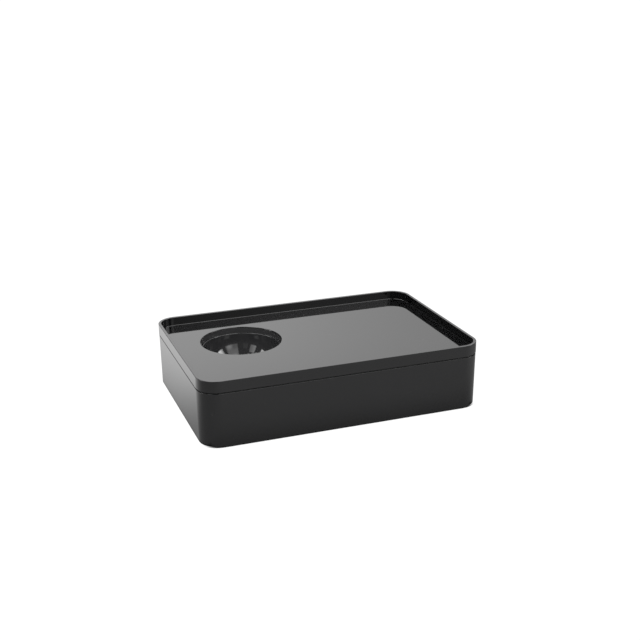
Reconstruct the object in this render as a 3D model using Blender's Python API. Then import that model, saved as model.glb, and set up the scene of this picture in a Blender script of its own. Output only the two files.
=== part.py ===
# Espresso knock box: a low box with a lift-off tray lid, a round chute in the tray,
# a waste bowl under the chute and a rubber-sleeved bar in the bowl.
# Metres, +Z up. The origin is the middle of the footprint, on the surface that the feet stand on.
# +X is the long side, and -Y is the front.
import math

import bmesh
import bpy
from mathutils import Matrix, Vector

# Overall
LENGTH = 0.3000
WIDTH = 0.2034
HEIGHT = 0.0692
CORNER_RADIUS = 0.0210
CORNER_STEPS = 8
GAP = 0.0003  # between pieces that touch

# Box
STAND = 0.0012  # the feet hold the box this far off the table
BOX_TOP = 0.0567
BOX_WALL = 0.0028
BOX_FLOOR = 0.0028
BOX_DRAFT = 0.0010  # the box is this much narrower at its foot, on each side
BOTTOM_ROUND = 0.0016
LIP_WALL = 0.0009  # the outer lip that hides the gasket
LIP_DEPTH = 0.0013
INSIDE_ROUND = 0.0015

# Tray lid
TRAY_UNDERSIDE = 0.0573
TRAY_RIM = 0.00305
TRAY_FLOOR_TOP = 0.05985
TRAY_FLOOR = 0.0024
TRAY_LIP_BOTTOM = 0.0515
TRAY_LIP_WALL = 0.0018
EDGE_ROUND = 0.0005

# Chute and bowl, on one vertical axis
CHUTE_X = -0.0731
CHUTE_Y = 0.0254
CHUTE_RADIUS = 0.04317
COLLAR_WALL = 0.0018
COLLAR_BOTTOM = 0.0522
SEAL_WALL = 0.0016
SEAL_GRIP = 0.0024  # how far the seal reaches up the outside of the collar
BOWL_RIM = 0.0530
BOWL_CENTRE = 0.0552  # height of the centre of the bowl's sphere
BOWL_INNER = 0.0413
BOWL_OUTER = 0.04285
BOWL_FOOT_RADIUS = 0.0140
BOWL_FOOT_BOTTOM = 0.0112
ROUND_STEPS = 48

# Knock bar, along X across the bowl
BAR_HEIGHT = 0.0365
ROD_RADIUS = 0.0040
ROD_HALF = 0.0310
SLEEVE_RADIUS = 0.0065
SLEEVE_HALF = 0.0255
CAP_RADIUS = 0.0052
CAP_FLANGE_RADIUS = 0.0062
CAP_FLANGE = 0.0015
CAP_END = 0.0330
BAR_STEPS = 24
SADDLE_INNER = 0.0280
SADDLE_HALF_WIDTH = 0.0085
SADDLE_BOTTOM = 0.0290
SADDLE_TOP = 0.0410

# Bowl's cradle and cushion
CRADLE_INNER = 0.0240
CRADLE_WALL = 0.0025
CRADLE_TOP = 0.0140
CUSHION_INNER = 0.0224
CUSHION_OUTER = 0.0279
CUSHION_SKIRT = 0.0090

# Storage bay
DIVIDER_X = -0.0240
DIVIDER_THICK = 0.0020
DIVIDER_TOP = 0.0500
DIVIDER_NOTCH = 0.0120
RIB_THICK = 0.0015
RIB_DEPTH = 0.0030
MAT_THICK = 0.0015
MAT_CLEAR = 0.0040  # from the mat's edge to the wall
MAT_RADIUS = 0.0100

# Feet
FOOT_X = 0.1250
FOOT_Y = 0.0770
FOOT_RADIUS = 0.0090
FOOT_POCKET = 0.0008
SCREW_HOLE = 0.0018
SCREW_SHANK = 0.0015
SCREW_HEAD = 0.0030
SCREW_HEAD_HIGH = 0.0012
SCREW_TIP = 0.0080
BOSS_RADIUS = 0.0040
BOSS_TOP = 0.0095

CORE_X = LENGTH / 2 - CORNER_RADIUS
CORE_Y = WIDTH / 2 - CORNER_RADIUS
BOX_INSIDE = CORNER_RADIUS - BOX_WALL
BOX_FLOOR_TOP = STAND + BOX_FLOOR
FOOT_PLACES = {
    "front_left": (-FOOT_X, -FOOT_Y),
    "front_right": (FOOT_X, -FOOT_Y),
    "rear_left": (-FOOT_X, FOOT_Y),
    "rear_right": (FOOT_X, FOOT_Y),
}


def clear_scene():
    for obj in list(bpy.data.objects):
        bpy.data.objects.remove(obj)


def make_material(name, colour, roughness, metallic=0.0):
    material = bpy.data.materials.new(name)
    material.use_nodes = True
    shader = material.node_tree.nodes["Principled BSDF"]
    shader.inputs["Base Color"].default_value = (*colour, 1.0)
    shader.inputs["Roughness"].default_value = roughness
    shader.inputs["Metallic"].default_value = metallic
    return material


def add_object(name, bm, material=None, location=(0, 0, 0), parent=None):
    bmesh.ops.recalc_face_normals(bm, faces=bm.faces[:])
    mesh = bpy.data.meshes.new(name)
    bm.to_mesh(mesh)
    bm.free()
    mesh.shade_smooth()
    mesh.set_sharp_from_angle(angle=math.radians(35))
    obj = bpy.data.objects.new(name, mesh)
    bpy.context.scene.collection.objects.link(obj)
    obj.location = location
    obj.parent = parent
    if material:
        mesh.materials.append(material)
    return obj


def add_empty(name, location, parent=None):
    empty = bpy.data.objects.new(name, None)
    bpy.context.scene.collection.objects.link(empty)
    empty.location = location
    empty.parent = parent
    return empty


def arc(centre_a, centre_b, radius, start, end, steps):
    """Points of an arc, with angles in degrees from the first axis to the second."""
    points = []
    for step in range(steps + 1):
        angle = math.radians(start + (end - start) * step / steps)
        points.append((centre_a + radius * math.cos(angle), centre_b + radius * math.sin(angle)))
    return points


def rounded_ring(bm, core_x, core_y, radius, z):
    """A ring of vertices: a rectangle of half sides core_x and core_y, grown by radius."""
    ring = []
    for turn, (side_x, side_y) in enumerate(((1, 1), (-1, 1), (-1, -1), (1, -1))):
        for x, y in arc(side_x * core_x, side_y * core_y, radius, 90 * turn, 90 * turn + 90, CORNER_STEPS):
            ring.append(bm.verts.new((x, y, z)))
    return ring


def bridge(bm, first, second):
    count = len(first)
    for i in range(count):
        after = (i + 1) % count
        bm.faces.new((first[i], first[after], second[after], second[i]))


def swept(profile, core_x=CORE_X, core_y=CORE_Y, closed=False):
    """A profile of (radius, z) points carried round the rounded rectangle. An open one is capped at both ends."""
    bm = bmesh.new()
    rings = [rounded_ring(bm, core_x, core_y, radius, z) for radius, z in profile]
    for first, second in zip(rings, rings[1:]):
        bridge(bm, first, second)
    if closed:
        bridge(bm, rings[-1], rings[0])
    else:
        bm.faces.new(rings[0])
        bm.faces.new(rings[-1])
    return bm


def turned(profile, steps=ROUND_STEPS, axis="Z", closed=False):
    """A profile of (radius, height) points spun about its own axis. A closed one is a ring."""
    bm = bmesh.new()
    points = [bm.verts.new((radius, 0, height)) for radius, height in profile]
    edges = [bm.edges.new(pair) for pair in zip(points, points[1:])]
    if closed:
        edges.append(bm.edges.new((points[-1], points[0])))
    bmesh.ops.spin(
        bm, geom=points + edges, cent=(0, 0, 0), axis=(0, 0, 1),
        angle=math.tau, steps=steps, use_merge=True,
    )
    bmesh.ops.remove_doubles(bm, verts=bm.verts[:], dist=1e-6)
    if axis == "X":
        bmesh.ops.rotate(bm, verts=bm.verts[:], cent=(0, 0, 0), matrix=Matrix.Rotation(math.pi / 2, 3, "Y"))
    return bm


def block(low, high):
    bm = bmesh.new()
    bmesh.ops.create_cube(bm, size=1.0)
    size = Vector(high) - Vector(low)
    bmesh.ops.scale(bm, verts=bm.verts[:], vec=size)
    bmesh.ops.translate(bm, verts=bm.verts[:], vec=(Vector(high) + Vector(low)) / 2)
    return bm


def cylinder(radius, bottom, top, steps=BAR_STEPS, axis="Z"):
    return turned(((0, bottom), (radius, bottom), (radius, top), (0, top)), steps, axis)


def hide_helper(obj):
    obj.hide_render = True
    obj.display_type = "WIRE"


def combine(obj, operation, bm, name, location=(0, 0, 0)):
    """Joins a shape to an object, or cuts it out, with a Boolean modifier."""
    helper = add_object(name, bm, location=location)
    hide_helper(helper)
    modifier = obj.modifiers.new(name, "BOOLEAN")
    modifier.operation = operation
    modifier.solver = "EXACT"
    modifier.object = helper
    return helper


def sphere_height(radius, distance):
    """Height of the lower half of a sphere about the bowl's centre, at a distance from the axis."""
    return BOWL_CENTRE - math.sqrt(radius**2 - distance**2)


def sphere_arc(radius, low_radius, high_z, steps):
    """Profile points up a sphere about the bowl's centre, from a radius to a height."""
    start = -90 + math.degrees(math.asin(low_radius / radius))
    end = math.degrees(math.asin((high_z - BOWL_CENTRE) / radius))
    return arc(0, BOWL_CENTRE, radius, start, end, steps)


def build_base_box(material):
    foot = CORNER_RADIUS - BOX_DRAFT
    inside_foot = BOX_INSIDE - BOX_DRAFT
    profile = arc(foot - BOTTOM_ROUND, STAND + BOTTOM_ROUND, BOTTOM_ROUND, -90, 0, 3)
    profile += [
        (CORNER_RADIUS, BOX_TOP - GAP),
        (CORNER_RADIUS - GAP, BOX_TOP),
        (CORNER_RADIUS - LIP_WALL, BOX_TOP),
        (CORNER_RADIUS - LIP_WALL, BOX_TOP - LIP_DEPTH),
        (BOX_INSIDE, BOX_TOP - LIP_DEPTH),
    ]
    profile += arc(inside_foot - INSIDE_ROUND, BOX_FLOOR_TOP + INSIDE_ROUND, INSIDE_ROUND, 0, -90, 3)
    box = add_object("base_box", swept(profile), material)
    cradle_bottom = BOX_FLOOR_TOP - BOX_FLOOR / 2
    cradle_outer = CRADLE_INNER + CRADLE_WALL
    cradle = turned(
        (
            (CRADLE_INNER, cradle_bottom),
            (cradle_outer, cradle_bottom),
            (cradle_outer, CRADLE_TOP),
            (CRADLE_INNER, CRADLE_TOP),
        ),
        closed=True,
    )
    combine(box, "UNION", cradle, "cradle_wall", (CHUTE_X, CHUTE_Y, 0))
    rib_from_wall = CORE_Y + BOX_INSIDE + BOX_WALL / 2 - BOX_DRAFT
    rib_to = CORE_Y + BOX_INSIDE - BOX_DRAFT - RIB_DEPTH
    rib_middle = DIVIDER_THICK / 2 + GAP + RIB_THICK / 2
    for end, side_y in (("front", -1), ("rear", 1)):
        for side, side_x in (("left", -1), ("right", 1)):
            middle = DIVIDER_X + side_x * rib_middle
            low_y, high_y = sorted((side_y * rib_from_wall, side_y * rib_to))
            rib = block(
                (middle - RIB_THICK / 2, low_y, cradle_bottom),
                (middle + RIB_THICK / 2, high_y, DIVIDER_TOP - INSIDE_ROUND),
            )
            combine(box, "UNION", rib, f"rib_{end}_{side}")
    for place, (x, y) in FOOT_PLACES.items():
        boss = cylinder(BOSS_RADIUS, cradle_bottom, BOSS_TOP)
        combine(box, "UNION", boss, f"boss_{place}", (x, y, 0))
    for place, (x, y) in FOOT_PLACES.items():
        pocket = turned(
            (
                (0, -STAND),
                (FOOT_RADIUS + GAP, -STAND),
                (FOOT_RADIUS + GAP, STAND + FOOT_POCKET),
                (SCREW_HOLE, STAND + FOOT_POCKET),
                (SCREW_HOLE, SCREW_TIP + GAP),
                (0, SCREW_TIP + GAP),
            ),
            BAR_STEPS,
        )
        combine(box, "DIFFERENCE", pocket, f"foot_pocket_{place}", (x, y, 0))
    return box


def build_feet(rubber, steel):
    top = STAND + FOOT_POCKET - GAP
    for place, (x, y) in FOOT_PLACES.items():
        ring = turned(
            (
                (SCREW_HOLE, SCREW_HEAD_HIGH + GAP),
                (SCREW_HEAD + GAP, SCREW_HEAD_HIGH + GAP),
                (SCREW_HEAD + GAP, 0),
                (FOOT_RADIUS - EDGE_ROUND, 0),
                (FOOT_RADIUS, EDGE_ROUND),
                (FOOT_RADIUS, top),
                (SCREW_HOLE, top),
            ),
            BAR_STEPS, closed=True,
        )
        add_object(f"foot_{place}", ring, rubber, (x, y, 0))
        screw = turned(
            (
                (0, EDGE_ROUND),
                (SCREW_HEAD - EDGE_ROUND, EDGE_ROUND),
                (SCREW_HEAD, SCREW_HEAD_HIGH),
                (SCREW_SHANK, SCREW_HEAD_HIGH),
                (SCREW_SHANK, SCREW_TIP - EDGE_ROUND),
                (SCREW_SHANK - EDGE_ROUND, SCREW_TIP),
                (0, SCREW_TIP),
            ),
            BAR_STEPS,
        )
        add_object(f"foot_screw_{place}", screw, steel, (x, y, 0))


def build_cushion(material):
    profile = (
        (CUSHION_INNER, CUSHION_SKIRT),
        (CRADLE_INNER - GAP, CUSHION_SKIRT),
        (CRADLE_INNER - GAP, CRADLE_TOP + GAP),
        (CUSHION_OUTER, CRADLE_TOP + GAP),
        (CUSHION_OUTER, sphere_height(BOWL_OUTER, CUSHION_OUTER) - 2 * GAP),
        (CUSHION_INNER, sphere_height(BOWL_OUTER, CUSHION_INNER) - 2 * GAP),
    )
    return add_object("bowl_cushion_ring", turned(profile, closed=True), material, (CHUTE_X, CHUTE_Y, 0))


def build_divider(material):
    half = CORE_Y + BOX_INSIDE - BOX_DRAFT - GAP
    plate = block(
        (DIVIDER_X - DIVIDER_THICK / 2, -half, BOX_FLOOR_TOP + INSIDE_ROUND),
        (DIVIDER_X + DIVIDER_THICK / 2, half, DIVIDER_TOP),
    )
    divider = add_object("storage_divider", plate, material)
    notch = cylinder(DIVIDER_NOTCH, -DIVIDER_THICK, DIVIDER_THICK, ROUND_STEPS, "X")
    combine(divider, "DIFFERENCE", notch, "finger_notch", (DIVIDER_X, 0, DIVIDER_TOP))
    return divider


def build_mat(material):
    low_x = DIVIDER_X + MAT_CLEAR
    high_x = CORE_X + BOX_INSIDE - BOX_DRAFT - MAT_CLEAR
    high_y = CORE_Y + BOX_INSIDE - BOX_DRAFT - MAT_CLEAR
    bottom = BOX_FLOOR_TOP + GAP
    sheet = swept(
        ((MAT_RADIUS, bottom), (MAT_RADIUS, bottom + MAT_THICK)),
        (high_x - low_x) / 2 - MAT_RADIUS,
        high_y - MAT_RADIUS,
    )
    mat = add_object("storage_mat", sheet, material, ((low_x + high_x) / 2, 0, 0))
    for place in ("front_right", "rear_right"):
        hole = cylinder(BOSS_RADIUS + MAT_THICK, 0, BOSS_TOP)
        combine(mat, "DIFFERENCE", hole, f"mat_hole_{place}", (*FOOT_PLACES[place], 0))
    return mat


def build_tray(material, parent):
    lip_outer = BOX_INSIDE - 1.5 * GAP
    lip_inner = lip_outer - TRAY_LIP_WALL
    rim_inner = CORNER_RADIUS - TRAY_RIM
    profile = [
        (lip_inner, TRAY_FLOOR_TOP - TRAY_FLOOR),
        (lip_inner, TRAY_LIP_BOTTOM),
        (lip_outer, TRAY_LIP_BOTTOM),
        (lip_outer, TRAY_UNDERSIDE),
        (CORNER_RADIUS - GAP, TRAY_UNDERSIDE),
        (CORNER_RADIUS, TRAY_UNDERSIDE + GAP),
    ]
    profile += arc(CORNER_RADIUS - EDGE_ROUND, HEIGHT - EDGE_ROUND, EDGE_ROUND, 0, 90, 3)
    profile += arc(rim_inner + EDGE_ROUND, HEIGHT - EDGE_ROUND, EDGE_ROUND, 90, 180, 3)
    profile += arc(rim_inner - EDGE_ROUND, TRAY_FLOOR_TOP + EDGE_ROUND, EDGE_ROUND, 0, -90, 2)
    tray = add_object("tray", swept(profile), material, parent=parent)
    collar = turned(
        (
            (CHUTE_RADIUS - GAP, COLLAR_BOTTOM),
            (CHUTE_RADIUS + COLLAR_WALL, COLLAR_BOTTOM),
            (CHUTE_RADIUS + COLLAR_WALL, TRAY_FLOOR_TOP - TRAY_FLOOR / 2),
            (CHUTE_RADIUS - GAP, TRAY_FLOOR_TOP - TRAY_FLOOR / 2),
        ),
        closed=True,
    )
    combine(tray, "UNION", collar, "chute_collar", (CHUTE_X, CHUTE_Y, 0))
    bore = turned(
        (
            (0, TRAY_LIP_BOTTOM),
            (CHUTE_RADIUS, TRAY_LIP_BOTTOM),
            (CHUTE_RADIUS, TRAY_FLOOR_TOP - EDGE_ROUND),
            (CHUTE_RADIUS + 2 * EDGE_ROUND, TRAY_FLOOR_TOP + EDGE_ROUND),
            (0, TRAY_FLOOR_TOP + EDGE_ROUND),
        ),
    )
    combine(tray, "DIFFERENCE", bore, "chute_bore", (CHUTE_X, CHUTE_Y, 0))
    return tray


def build_gasket(material, parent):
    outer = CORNER_RADIUS - LIP_WALL - GAP
    inner = BOX_INSIDE + GAP
    bottom = BOX_TOP - LIP_DEPTH + GAP
    top = TRAY_UNDERSIDE - GAP
    profile = ((outer, bottom), (outer, top), (inner, top), (inner, bottom))
    return add_object("tray_gasket", swept(profile, closed=True), material, parent=parent)


def build_chute_seal(material, parent):
    inner = CHUTE_RADIUS + COLLAR_WALL + GAP
    outer = inner + SEAL_WALL
    lip = CHUTE_RADIUS + GAP
    profile = (
        (lip, COLLAR_BOTTOM - 4 * GAP),
        (outer, COLLAR_BOTTOM - 4 * GAP),
        (outer, COLLAR_BOTTOM + SEAL_GRIP),
        (inner, COLLAR_BOTTOM + SEAL_GRIP),
        (inner, COLLAR_BOTTOM - GAP),
        (lip, COLLAR_BOTTOM - GAP),
    )
    return add_object("chute_seal", turned(profile, closed=True), material, (CHUTE_X, CHUTE_Y, 0), parent)


def build_bowl(material, parent):
    edge = EDGE_ROUND
    outer = sphere_arc(BOWL_OUTER, BOWL_FOOT_RADIUS + edge, BOWL_RIM - edge, 11)
    inner = sphere_arc(BOWL_INNER, 0, BOWL_RIM - edge, 14)
    profile = [(0, BOWL_FOOT_BOTTOM), (BOWL_FOOT_RADIUS, BOWL_FOOT_BOTTOM)]
    profile += [(BOWL_FOOT_RADIUS + edge, BOWL_FOOT_BOTTOM + edge)]
    profile += outer
    profile += [(outer[-1][0] - edge, BOWL_RIM), (inner[-1][0] + edge, BOWL_RIM)]
    profile += reversed(inner)
    bowl = add_object("waste_bowl", turned(profile), material, parent=parent)
    slot_radius = CAP_RADIUS + GAP
    for side, sign in (("left", -1), ("right", 1)):
        low_x, high_x = sorted((sign * SADDLE_INNER, sign * BOWL_OUTER))
        saddle = add_object(
            f"saddle_{side}",
            block((low_x, -SADDLE_HALF_WIDTH, SADDLE_BOTTOM), (high_x, SADDLE_HALF_WIDTH, SADDLE_TOP)),
            location=(CHUTE_X, CHUTE_Y, 0),
        )
        hide_helper(saddle)
        middle_radius = (BOWL_INNER + BOWL_OUTER) / 2
        ball = [(0, BOWL_CENTRE - middle_radius)]
        ball += sphere_arc(middle_radius, middle_radius / 4, BOWL_RIM, 12)
        ball += [(0, BOWL_RIM)]
        combine(saddle, "INTERSECT", turned(ball), f"saddle_limit_{side}", (CHUTE_X, CHUTE_Y, 0))
        join = bowl.modifiers.new(f"saddle_{side}", "BOOLEAN")
        join.operation = "UNION"
        join.solver = "EXACT"
        join.object = saddle
        low_x, high_x = sorted((sign * (SADDLE_INNER - edge), sign * (CAP_END + GAP)))
        slot = cylinder(slot_radius, low_x, high_x, BAR_STEPS, "X")
        combine(bowl, "DIFFERENCE", slot, f"slot_{side}", (CHUTE_X, CHUTE_Y, BAR_HEIGHT))
        mouth = block((low_x, -slot_radius, BAR_HEIGHT), (high_x, slot_radius, SADDLE_TOP + edge))
        combine(bowl, "DIFFERENCE", mouth, f"slot_mouth_{side}", (CHUTE_X, CHUTE_Y, 0))
    return bowl


def build_bar(rubber, steel, parent):
    rod = turned(
        (
            (0, -ROD_HALF),
            (ROD_RADIUS - EDGE_ROUND, -ROD_HALF),
            (ROD_RADIUS, -ROD_HALF + EDGE_ROUND),
            (ROD_RADIUS, ROD_HALF - EDGE_ROUND),
            (ROD_RADIUS - EDGE_ROUND, ROD_HALF),
            (0, ROD_HALF),
        ),
        BAR_STEPS, "X",
    )
    add_object("knock_bar_rod", rod, steel, parent=parent)
    bore = ROD_RADIUS + GAP
    sleeve = turned(
        (
            (bore, -SLEEVE_HALF),
            (SLEEVE_RADIUS - EDGE_ROUND, -SLEEVE_HALF),
            (SLEEVE_RADIUS, -SLEEVE_HALF + EDGE_ROUND),
            (SLEEVE_RADIUS, SLEEVE_HALF - EDGE_ROUND),
            (SLEEVE_RADIUS - EDGE_ROUND, SLEEVE_HALF),
            (bore, SLEEVE_HALF),
        ),
        BAR_STEPS, "X", closed=True,
    )
    add_object("knock_bar_sleeve", sleeve, rubber, parent=parent)
    flange_start = SLEEVE_HALF + GAP
    flange_end = flange_start + CAP_FLANGE
    for side, sign in (("left", -1), ("right", 1)):
        cap = turned(
            [
                (bore, sign * flange_start),
                (CAP_FLANGE_RADIUS, sign * flange_start),
                (CAP_FLANGE_RADIUS, sign * flange_end),
                (CAP_RADIUS, sign * flange_end),
                (CAP_RADIUS, sign * (CAP_END - 2 * EDGE_ROUND)),
                (CAP_RADIUS - 2 * EDGE_ROUND, sign * CAP_END),
                (0, sign * CAP_END),
                (0, sign * (ROD_HALF + GAP)),
                (bore, sign * (ROD_HALF + GAP)),
            ],
            BAR_STEPS, "X", closed=True,
        )
        add_object(f"bar_end_cap_{side}", cap, rubber, parent=parent)


def main():
    clear_scene()
    gloss = make_material("gloss_black_plastic", (0.012, 0.012, 0.013), 0.10)
    satin = make_material("satin_black_plastic", (0.020, 0.020, 0.021), 0.45)
    rubber = make_material("black_rubber", (0.018, 0.018, 0.018), 0.75)
    silicone = make_material("grey_silicone", (0.060, 0.060, 0.062), 0.60)
    steel = make_material("brushed_steel", (0.560, 0.560, 0.550), 0.30, 1.0)

    build_base_box(gloss)
    build_feet(rubber, steel)
    build_cushion(rubber)
    build_divider(satin)
    build_mat(rubber)

    tray_lift = add_empty("tray_lift", (0, 0, 0))
    build_tray(gloss, tray_lift)
    build_gasket(silicone, tray_lift)
    build_chute_seal(silicone, tray_lift)

    bowl_lift = add_empty("bowl_lift", (CHUTE_X, CHUTE_Y, 0))
    build_bowl(gloss, bowl_lift)

    bar_lift = add_empty("bar_lift", (0, 0, BAR_HEIGHT), bowl_lift)
    build_bar(rubber, steel, bar_lift)


main()
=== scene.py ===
import math

import bmesh
import bpy
from mathutils import Matrix, Vector


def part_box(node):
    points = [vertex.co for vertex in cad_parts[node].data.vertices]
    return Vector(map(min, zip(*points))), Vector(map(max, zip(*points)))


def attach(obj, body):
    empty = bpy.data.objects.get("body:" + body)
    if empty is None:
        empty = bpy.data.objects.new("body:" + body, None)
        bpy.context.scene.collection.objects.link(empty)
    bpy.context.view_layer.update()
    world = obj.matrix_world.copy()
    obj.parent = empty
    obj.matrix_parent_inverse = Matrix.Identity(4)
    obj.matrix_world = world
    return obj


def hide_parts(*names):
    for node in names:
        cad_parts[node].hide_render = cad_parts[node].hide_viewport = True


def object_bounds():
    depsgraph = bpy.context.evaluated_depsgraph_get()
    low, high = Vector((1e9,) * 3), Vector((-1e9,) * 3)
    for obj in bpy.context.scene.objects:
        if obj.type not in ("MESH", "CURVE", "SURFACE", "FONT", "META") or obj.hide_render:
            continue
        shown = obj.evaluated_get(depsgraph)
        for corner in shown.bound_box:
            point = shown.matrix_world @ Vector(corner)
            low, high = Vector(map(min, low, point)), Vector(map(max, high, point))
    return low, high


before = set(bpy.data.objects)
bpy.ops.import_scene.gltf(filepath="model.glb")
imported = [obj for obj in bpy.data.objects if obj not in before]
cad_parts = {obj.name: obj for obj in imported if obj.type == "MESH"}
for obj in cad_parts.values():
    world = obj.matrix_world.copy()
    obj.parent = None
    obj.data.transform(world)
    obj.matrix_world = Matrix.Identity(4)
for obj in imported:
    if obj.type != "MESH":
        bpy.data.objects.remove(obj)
cadLow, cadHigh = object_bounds()
middle = (cadLow + cadHigh) / 2
print("frame loaded:", len(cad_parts), "nodes")

bpy.context.scene.view_settings.view_transform = "Standard"


def roundVert(bm, vert, rounding, segments):
    bmesh.ops.bevel(bm, geom=[vert], offset=rounding, offset_type="OFFSET", affect="VERTICES",
                    segments=segments, profile=0.5, material=-1)


# points are (x, z) or (x, z, rounding, segments); a rounded one is bevelled as a vertex
def profileWire(points, closed=False):
    bm = bmesh.new()
    verts = [bm.verts.new((point[0], 0, point[1])) for point in points]
    for first, second in zip(verts, verts[1:]):
        bm.edges.new((first, second))
    if closed:
        bm.edges.new((verts[-1], verts[0]))
    for vert, point in zip(verts, points):
        if len(point) > 2:
            roundVert(bm, vert, *point[2:])
    return bm


def wireOf(geom):
    verts = [item for item in geom if isinstance(item, bmesh.types.BMVert)]
    known = set(verts)
    edges = [item for item in geom if isinstance(item, bmesh.types.BMEdge) and set(item.verts) <= known]
    return verts, edges


# carries the profile round a rectangle with round corners; its x is the distance from the core rectangle
def sweepRound(bm, coreX, coreY, steps):
    bmesh.ops.translate(bm, verts=bm.verts[:], vec=(coreX, -coreY, 0))
    verts, edges = bm.verts[:], bm.edges[:]
    corners = ((coreX, coreY), (-coreX, coreY), (-coreX, -coreY), (coreX, -coreY))
    runs = ((0, 2 * coreY, 0), (-2 * coreX, 0, 0), (0, -2 * coreY, 0), (2 * coreX, 0, 0))
    for (x, y), run in zip(corners, runs):
        verts, edges = wireOf(bmesh.ops.extrude_edge_only(bm, edges=edges)["geom"])
        bmesh.ops.translate(bm, verts=verts, vec=run)
        turned = bmesh.ops.spin(bm, geom=verts + edges, cent=(x, y, 0), axis=(0, 0, 1),
                                angle=math.pi / 2, steps=steps)
        verts, edges = wireOf(turned["geom_last"])
    bmesh.ops.remove_doubles(bm, verts=bm.verts[:], dist=2e-6)
    return bm


def spinRound(bm, steps, centre=(0, 0, 0), axis="Z"):
    bmesh.ops.spin(bm, geom=bm.verts[:] + bm.edges[:], cent=(0, 0, 0), axis=(0, 0, 1),
                   angle=math.tau, steps=steps, use_merge=True)
    bmesh.ops.remove_doubles(bm, verts=bm.verts[:], dist=2e-6)
    if axis == "X":
        bmesh.ops.rotate(bm, verts=bm.verts[:], cent=(0, 0, 0), matrix=Matrix.Rotation(math.pi / 2, 3, "Y"))
    bmesh.ops.translate(bm, verts=bm.verts[:], vec=centre)
    return bm


def joinInto(bm, other):
    carrier = bpy.data.meshes.new("carrier")
    other.to_mesh(carrier)
    other.free()
    bm.from_mesh(carrier)
    bpy.data.meshes.remove(carrier)


# boundary edges at one height, and within a distance of a point if one is given
def openEdges(bm, height, centre=None, within=1.0):
    found = []
    for edge in bm.edges:
        if not edge.is_boundary or any(abs(vert.co.z - height) > 1e-6 for vert in edge.verts):
            continue
        if centre is None or all((vert.co.xy - centre).length < within for vert in edge.verts):
            found.append(edge)
    return found


def fillFlat(bm, edges):
    bmesh.ops.triangle_fill(bm, use_beauty=True, use_dissolve=False, edges=edges)


def bevelSharp(bm, offset, segments, degrees=30):
    edges = [edge for edge in bm.edges if edge.is_manifold and edge.calc_face_angle() > math.radians(degrees)]
    bmesh.ops.bevel(bm, geom=edges, offset=offset, offset_type="OFFSET", affect="EDGES",
                    segments=segments, profile=0.5, material=-1)


def softBlock(low, high, offset, segments=3):
    bm = bmesh.new()
    bmesh.ops.create_cube(bm, size=1.0)
    bmesh.ops.scale(bm, verts=bm.verts[:], vec=Vector(high) - Vector(low))
    bmesh.ops.translate(bm, verts=bm.verts[:], vec=(Vector(high) + Vector(low)) / 2)
    bevelSharp(bm, offset, segments)
    return bm


# a flat face from (x, y) or (x, y, rounding, segments) corners
def outline(points):
    bm = bmesh.new()
    verts = [bm.verts.new((point[0], point[1], 0)) for point in points]
    bm.faces.new(verts)
    for vert, point in zip(verts, points):
        if len(point) > 2:
            roundVert(bm, vert, *point[2:])
    return bm


# stands an outline up across the bar: its x becomes y and its y becomes z
def standUp(bm):
    for axis in ("X", "Z"):
        bmesh.ops.rotate(bm, verts=bm.verts[:], cent=(0, 0, 0), matrix=Matrix.Rotation(math.pi / 2, 3, axis))


# the point midway between two corners, at table height
def plumb(low, high):
    spot = (low + high) / 2
    spot.z = 0
    return spot


def thicken(bm, along):
    pulled = bmesh.ops.extrude_face_region(bm, geom=bm.faces[:])["geom"]
    verts = [item for item in pulled if isinstance(item, bmesh.types.BMVert)]
    bmesh.ops.translate(bm, verts=verts, vec=along)
    bmesh.ops.recalc_face_normals(bm, faces=bm.faces[:])
    return verts


def finishPiece(name, bm, body, nodes, material, sharpAngle=42):
    bmesh.ops.remove_doubles(bm, verts=bm.verts[:], dist=1e-6)
    bmesh.ops.recalc_face_normals(bm, faces=bm.faces[:])
    mesh = bpy.data.meshes.new(name)
    bm.to_mesh(mesh)
    bm.free()
    mesh.shade_smooth()
    mesh.set_sharp_from_angle(angle=math.radians(sharpAngle))
    mesh.materials.append(material)
    piece = bpy.data.objects.new(name, mesh)
    bpy.context.scene.collection.objects.link(piece)
    evenShade = piece.modifiers.new("evenShade", "WEIGHTED_NORMAL")
    evenShade.keep_sharp = True
    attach(piece, body)
    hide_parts(*nodes)
    return piece


# starts a node group that several finishes share
def startGroup(name, inputs, outputs):
    group = bpy.data.node_groups.new(name, "ShaderNodeTree")
    for socketName, kind, value in inputs:
        socket = group.interface.new_socket(name=socketName, in_out="INPUT", socket_type=kind)
        if value is not None:
            socket.default_value = value
    for socketName in outputs:
        group.interface.new_socket(name=socketName, in_out="OUTPUT", socket_type="NodeSocketFloat")
    return group, group.nodes.new("NodeGroupInput"), group.nodes.new("NodeGroupOutput")


# inputs maps a socket's name or number to a value, or to the socket that feeds it
def addNode(tree, kind, settings=None, inputs=None):
    node = tree.nodes.new("ShaderNode" + kind)
    for key, value in (settings or {}).items():
        setattr(node, key, value)
    for key, value in (inputs or {}).items():
        if isinstance(value, bpy.types.NodeSocket):
            tree.links.new(value, node.inputs[key])
        else:
            node.inputs[key].default_value = value
    return node


def mathNode(tree, operation, first, second=0.0):
    return addNode(tree, "Math", {"operation": operation}, {0: first, 1: second}).outputs[0]


def ramp(tree, value, low, high, toLow=0.0, toHigh=1.0):
    settings = {"interpolation_type": "SMOOTHSTEP", "clamp": True}
    inputs = {"Value": value, "From Min": low, "From Max": high, "To Min": toLow, "To Max": toHigh}
    return addNode(tree, "MapRange", settings, inputs).outputs["Result"]


def noise(tree, vector, scale, detail, roughness=0.5, distortion=0.0):
    return addNode(tree, "TexNoise", None, {"Vector": vector, "Scale": scale, "Detail": detail,
                                            "Roughness": roughness, "Distortion": distortion}).outputs[0]


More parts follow.
